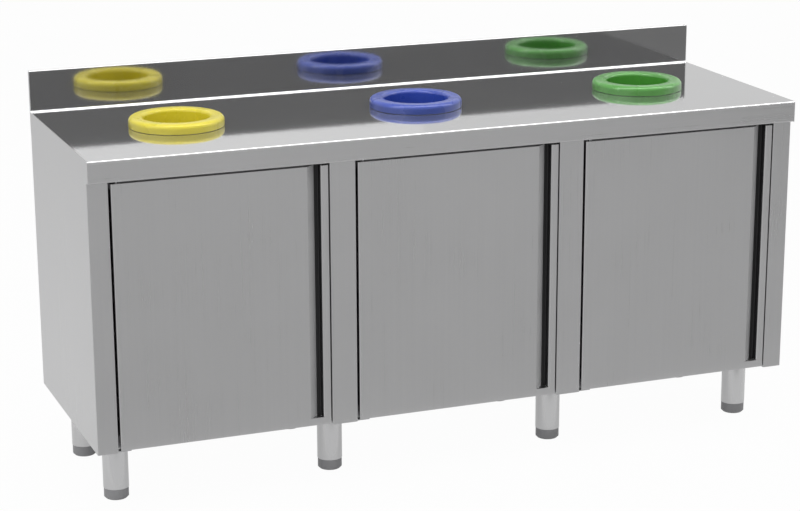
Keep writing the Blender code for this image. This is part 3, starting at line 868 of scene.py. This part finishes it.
def make_catch(bay):
    """A magnetic catch with two steel poles, and the strike plate that they meet on the door."""
    node = f"{bay}_door_catch"
    low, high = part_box(node)
    bm = bmesh.new()
    block(bm, (low.x, low.y + POLE_PROUD, low.z), high, CATCH_EDGE)
    put(f"{bay}_catch", bm, "cabinet", [CATCH_PLASTIC], [node])
    bm = bmesh.new()
    for share in POLE_LEVELS:
        level = low.z + (high.z - low.z) * share
        first = (low.x + POLE_MARGIN, low.y, level - POLE_THICKNESS / 2)
        last = (high.x - POLE_MARGIN, low.y + POLE_DEPTH, level + POLE_THICKNESS / 2)
        block(bm, first, last, POLE_EDGE)
    put(f"{bay}_poles", bm, "cabinet", [MILL_ALONG])
    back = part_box(f"{bay}_door_liner")[1].y
    first = (low.x, back - SHEET / 2, low.z)
    last = (high.x, back + STRIKE_THICKNESS, high.z)
    bm = bmesh.new()
    block(bm, first, last, STRIKE_THICKNESS / 2)
    put(f"{bay}_strike", bm, f"{bay}_door", [MILL_ALONG])


# Waste bins

def bin_loop(centre, half, height, outset, level):
    """The bin's rounded outline at a level, grown by an outset from its tapered wall."""
    shrink = BIN_TAPER * (1.0 - level / height) - outset
    radius = BIN_CORNER + outset
    points = []
    for quarter, (sign_x, sign_y) in enumerate(((1, 1), (-1, 1), (-1, -1), (1, -1))):
        corner = Vector((sign_x * (half.x - shrink - radius), sign_y * (half.y - shrink - radius), level))
        for step in range(BIN_CORNER_STEPS + 1):
            angle = (quarter + step / BIN_CORNER_STEPS) * math.pi / 2
            points.append(centre + corner + Vector((math.cos(angle), math.sin(angle), 0.0)) * radius)
    return points


def foot_arc(radius):
    """Outsets and levels of the round between a bin's floor and its wall."""
    angles = [math.pi / 2 * step / BIN_FOOT_STEPS for step in range(BIN_FOOT_STEPS + 1)]
    centre = BIN_FOOT_ROUND
    return [(radius * math.sin(angle) - centre, centre - radius * math.cos(angle)) for angle in angles]


def make_bin(bay):
    """A moulded bin: rounded floor edge, a bead round the wall and a turned-down rim."""
    node = f"{bay}_bin"
    low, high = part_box(node)
    height = high.z - low.z
    half = (high - low) / 2 - Vector((BIN_RIM, BIN_RIM, 0.0))
    centre = Vector(((low.x + high.x) / 2, (low.y + high.y) / 2, low.z))
    bead = BIN_BEAD_LEVEL * height
    profile = [
        *foot_arc(BIN_FOOT_ROUND),
        (0.0, bead - 2 * BIN_BEAD),
        (BIN_BEAD, bead - BIN_BEAD),
        (BIN_BEAD, bead + BIN_BEAD),
        (0.0, bead + 2 * BIN_BEAD),
        (0.0, height - BIN_WALL),
        (BIN_RIM - BIN_WALL, height - BIN_WALL),
        (BIN_RIM - BIN_WALL, height - BIN_RIM_DROP),
        (BIN_RIM, height - BIN_RIM_DROP),
        (BIN_RIM, height - BIN_EDGE),
        (BIN_RIM - BIN_EDGE, height),
        (BIN_EDGE - BIN_WALL, height),
        (-BIN_WALL, height - BIN_EDGE),
        *reversed(foot_arc(BIN_FOOT_ROUND - BIN_WALL)),
    ]
    loops = [bin_loop(centre, half, height, outset, level) for outset, level in profile]
    underside = [centre]
    floor = [centre + Vector((0.0, 0.0, BIN_WALL))]
    bm = bmesh.new()
    skin(bm, [underside, *loops, floor])
    obj = put(f"{bay}_waste_bin", bm, "cabinet", [BIN_PLASTIC], [node])
    even_shading(obj)


# Legs and feet

def make_leg(row, number):
    """A tube welded under a round plate, its lower edge broken."""
    node = f"{row}_leg_{number}"
    low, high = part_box(node)
    plate = (high.x - low.x) / 2
    under = high.z - LEG_PLATE
    bore = LEG_RADIUS - LEG_WALL
    angles = [math.pi / 2 * step / LEG_WELD_STEPS for step in range(LEG_WELD_STEPS + 1)]
    weld = [
        (LEG_RADIUS + LEG_WELD * (1 - math.sin(angle)), under - LEG_WELD * (1 - math.cos(angle)))
        for angle in angles
    ]
    profile = [
        (0.0, high.z),
        (plate - LEG_EDGE, high.z),
        (plate, high.z - LEG_EDGE),
        (plate, under + LEG_EDGE),
        (plate - LEG_EDGE, under),
        *weld,
        (LEG_RADIUS, low.z + LEG_EDGE),
        (LEG_RADIUS - LEG_EDGE, low.z),
        (bore, low.z),
        (bore, under),
        (0.0, under),
    ]
    centre = middle(node)
    bm = bmesh.new()
    lathe(bm, profile, (centre.x, centre.y, 0.0), LEG_SEGMENTS)
    obj = put(f"{row}_tube_{number}", bm, "cabinet", [TUBE_STEEL], [node])
    even_shading(obj)


def make_foot(row, number):
    """A levelling foot: a pad with a chamfered underside and a threaded plug."""
    node = f"{row}_foot_{number}"
    low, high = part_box(node)
    pad = (high.x - low.x) / 2
    plug = LEG_RADIUS - LEG_WALL - PLUG_PLAY
    threads = []
    level = FOOT_HEIGHT + THREAD_PITCH
    while level + THREAD_PITCH < high.z:
        threads.append((plug, level))
        threads.append((plug - THREAD_DEPTH, level + THREAD_PITCH / 2))
        level += THREAD_PITCH
    profile = [
        (0.0, high.z),
        (plug - THREAD_DEPTH, high.z),
        *reversed(threads),
        (plug, FOOT_HEIGHT),
        (pad - PAD_EDGE, FOOT_HEIGHT),
        (pad, FOOT_HEIGHT - PAD_EDGE),
        (pad, FOOT_CHAMFER),
        (pad - FOOT_CHAMFER, 0.0),
        (0.0, 0.0),
    ]
    centre = middle(node)
    bm = bmesh.new()
    lathe(bm, profile, (centre.x, centre.y, 0.0), LEG_SEGMENTS)
    put(f"{row}_pad_{number}", bm, f"{node}_body", [FOOT_PLASTIC], [node])


def make_leg_bolts():
    """Hexagon heads that hold the leg plates to the rails."""
    head = [
        (0.0, 0.0),
        (BOLT_RADIUS, 0.0),
        (BOLT_RADIUS, -BOLT_HEIGHT * BOLT_CHAMFER_START),
        (BOLT_RADIUS * BOLT_FACE, -BOLT_HEIGHT),
        (0.0, -BOLT_HEIGHT),
    ]
    bm = bmesh.new()
    for row, number in LEG_NAMES:
        low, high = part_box(f"{row}_leg_{number}")
        centre = middle(f"{row}_leg_{number}")
        ring = (high.x - low.x) / 2 - BOLT_RADIUS
        for step in range(BOLTS_PER_LEG):
            angle = math.tau * (step / BOLTS_PER_LEG + FIRST_BOLT_TURN)
            x = centre.x + ring * math.cos(angle)
            y = centre.y + ring * math.sin(angle)
            lathe(bm, head, (x, y, high.z - LEG_PLATE), BOLT_SIDES)
    put("leg_bolts", bm, "cabinet", [MILL_ALONG])


# Studio

FLOOR_SIZE = 60.0
FLOOR_DROP = 0.0005
FLOOR_COLOUR = (0.80, 0.80, 0.80, 1.0)
WHITE = (1.0, 1.0, 1.0, 1.0)
CAMERA_WHITE = 0.97
GLOSSY_WHITE = 0.56
AMBIENT = 0.50

# Where the cards lie and stand
CARD_LEFT = -6.0
CARD_RIGHT = 9.0
CARD_LEVEL = 0.002
FLAG_LEVEL = 0.004
NEAR_FLOOR_FRONT = -0.52
NEAR_FLOOR_BACK = -0.28
FRONT_WALL = -8.0
BACK_WALL = 9.0
BACK_WALL_SPLIT = 3.6
BACK_WALL_HEIGHT = 5.0
CEILING = 4.0


def light_path(nodes, links, weights):
    """A factor that is the given weight on each kind of ray, and none on the rest."""
    path = nodes.new("ShaderNodeLightPath")
    total = None
    for output, weight in weights.items():
        scaled = nodes.new("ShaderNodeMath")
        scaled.operation = "MULTIPLY"
        scaled.inputs[1].default_value = weight
        links.new(path.outputs[output], scaled.inputs[0])
        if total is None:
            total = scaled.outputs[0]
            continue
        added = nodes.new("ShaderNodeMath")
        added.operation = "ADD"
        added.use_clamp = True
        links.new(total, added.inputs[0])
        links.new(scaled.outputs[0], added.inputs[1])
        total = added.outputs[0]
    return total


def make_world():
    """White where it is seen or mirrored, and a softer even light on the rest."""
    world = bpy.data.worlds.new("studio")
    bpy.context.scene.world = world
    world.use_nodes = True
    nodes = world.node_tree.nodes
    links = world.node_tree.links
    ambient = nodes["Background"]
    ambient.inputs["Color"].default_value = WHITE
    ambient.inputs["Strength"].default_value = AMBIENT
    white = nodes.new("ShaderNodeBackground")
    white.inputs["Color"].default_value = WHITE
    mix = nodes.new("ShaderNodeMixShader")
    weights = {"Is Camera Ray": 1.0, "Is Glossy Ray": 1.0, "Is Transmission Ray": 1.0}
    links.new(light_path(nodes, links, weights), mix.inputs["Fac"])
    links.new(ambient.outputs["Background"], mix.inputs[1])
    links.new(white.outputs["Background"], mix.inputs[2])
    links.new(mix.outputs["Shader"], nodes["World Output"].inputs["Surface"])


def bare_material(name):
    """A material without its main shader, with its nodes, links and surface socket."""
    material, nodes, links, shader = new_material(name)
    nodes.remove(shader)
    return material, nodes, links, nodes["Material Output"].inputs["Surface"]


def rectangle(low, high):
    """Corners of a rectangle, counter-clockwise from its low corner."""
    return [low, (high[0], low[1]), high, (low[0], high[1])]


def plane(name, corners, material):
    """A flat face that belongs to the studio."""
    mesh = bpy.data.meshes.new(name)
    mesh.from_pydata(corners, [], [(0, 1, 2, 3)])
    mesh.materials.append(material)
    obj = bpy.data.objects.new(name, mesh)
    bpy.context.scene.collection.objects.link(obj)
    return obj


def make_floor():
    """A pale floor that runs into the white background and keeps a soft shadow."""
    material, nodes, links, surface = bare_material("floor")
    lit = nodes.new("ShaderNodeBsdfDiffuse")
    lit.inputs["Color"].default_value = FLOOR_COLOUR
    white = nodes.new("ShaderNodeEmission")
    mix = nodes.new("ShaderNodeMixShader")
    weights = {
        "Is Camera Ray": CAMERA_WHITE,
        "Is Glossy Ray": GLOSSY_WHITE,
        "Is Transmission Ray": GLOSSY_WHITE,
    }
    links.new(light_path(nodes, links, weights), mix.inputs["Fac"])
    links.new(lit.outputs["BSDF"], mix.inputs[1])
    links.new(white.outputs["Emission"], mix.inputs[2])
    links.new(mix.outputs["Shader"], surface)
    half = FLOOR_SIZE / 2
    floor = plane("floor", [(x, y, 0.0) for x, y in rectangle((-half, -half), (half, half))], material)
    floor.location.z = -FLOOR_DROP


def card(name, corners, tone):
    """A grey studio card that only reflections see."""
    material, nodes, links, surface = bare_material(name)
    grey = nodes.new("ShaderNodeEmission")
    grey.inputs["Color"].default_value = (tone, tone, tone, 1.0)
    links.new(grey.outputs["Emission"], surface)
    material.cycles.emission_sampling = "NONE"
    obj = plane(name, corners, material)
    obj.visible_camera = False
    obj.visible_diffuse = False
    obj.visible_transmission = False
    obj.visible_shadow = False
    obj.visible_volume_scatter = False


def level_card(name, low, high, tone, level):
    """A card that lies level between two corners in X and Y."""
    card(name, [(x, y, level) for x, y in rectangle(low, high)], tone)


def wall_card(name, low, high, tone, y):
    """A card that stands between two corners in X and Z."""
    card(name, [(x, y, z) for x, z in rectangle(low, high)], tone)


def make_cards():
    """What the steel mirrors: a grey floor, a strip of light above, a dark front wall, a pale back wall."""
    level_card(
        "front_floor", low=(CARD_LEFT, FRONT_WALL), high=(CARD_RIGHT, NEAR_FLOOR_FRONT), tone=0.545,
        level=CARD_LEVEL,
    )
    level_card(
        "near_floor", low=(CARD_LEFT, NEAR_FLOOR_FRONT), high=(CARD_RIGHT, NEAR_FLOOR_BACK), tone=0.78,
        level=CARD_LEVEL,
    )
    level_card("corner_flag", low=(2.8, -5.6), high=(4.8, -3.35), tone=0.195, level=FLAG_LEVEL)
    level_card("strip_light", low=(-8.0, -1.3), high=(10.0, -0.5), tone=8.0, level=CEILING)
    wall_card("front_flag", low=(-6.0, 1.6), high=(12.0, 3.5), tone=0.125, y=FRONT_WALL)
    wall_card(
        "back_card", low=(-12.0, 0.0), high=(BACK_WALL_SPLIT, BACK_WALL_HEIGHT), tone=0.82, y=BACK_WALL
    )
    wall_card(
        "back_corner_card", low=(BACK_WALL_SPLIT, 0.0), high=(16.0, BACK_WALL_HEIGHT), tone=0.72, y=BACK_WALL
    )


def area_light(name, place, target, size, power):
    """A soft lamp that mirrors do not show, so that polished steel keeps its grey from every side."""
    data = bpy.data.lights.new(name, "AREA")
    data.shape = "RECTANGLE"
    data.size, data.size_y = size
    data.energy = power
    obj = bpy.data.objects.new(name, data)
    bpy.context.scene.collection.objects.link(obj)
    obj.location = place
    obj.rotation_euler = (Vector(target) - Vector(place)).to_track_quat("-Z", "Y").to_euler()
    obj.visible_glossy = False


def make_studio():
    """Background, floor, cards and lamps."""
    make_world()
    make_floor()
    make_cards()
    area_light("overhead", place=(0.0, -0.3, 4.2), target=(0.0, 0.0, 0.8), size=(5.0, 4.0), power=60.0)
    area_light("key", place=(-3.2, -2.6, 3.0), target=(0.0, 0.0, 0.5), size=(3.2, 3.2), power=40.0)


def make_camera():
    """The photograph's camera, whose shift puts its optical centre where the photograph has it."""
    data = bpy.data.cameras.new("photo_camera")
    data.sensor_width = SENSOR_WIDTH
    data.lens = FOCAL_PIXELS * SENSOR_WIDTH / IMAGE_WIDTH
    data.shift_x = (IMAGE_WIDTH / 2 - OPTICAL_CENTRE[0]) / IMAGE_WIDTH
    data.shift_y = (OPTICAL_CENTRE[1] - IMAGE_HEIGHT / 2) / IMAGE_WIDTH
    camera = bpy.data.objects.new("photo_camera", data)
    bpy.context.scene.collection.objects.link(camera)
    camera.location = CAMERA_PLACE
    camera.rotation_euler = (math.pi / 2 - CAMERA_PITCH, 0.0, -CAMERA_YAW)
    bpy.context.scene.camera = camera


finish_carcass()
make_worktop()
make_ends()
make_collars()
make_sides()
make_back_rivets()
for bay in BAYS:
    make_front(bay)
    make_caps(bay)
    make_liner_rivets(bay)
    make_pivots(bay)
    make_catch(bay)
    make_bin(bay)
for row, number in LEG_NAMES:
    make_leg(row, number)
    make_foot(row, number)
make_leg_bolts()
make_studio()
make_camera()
bpy.context.scene.view_settings.view_transform = "Standard"
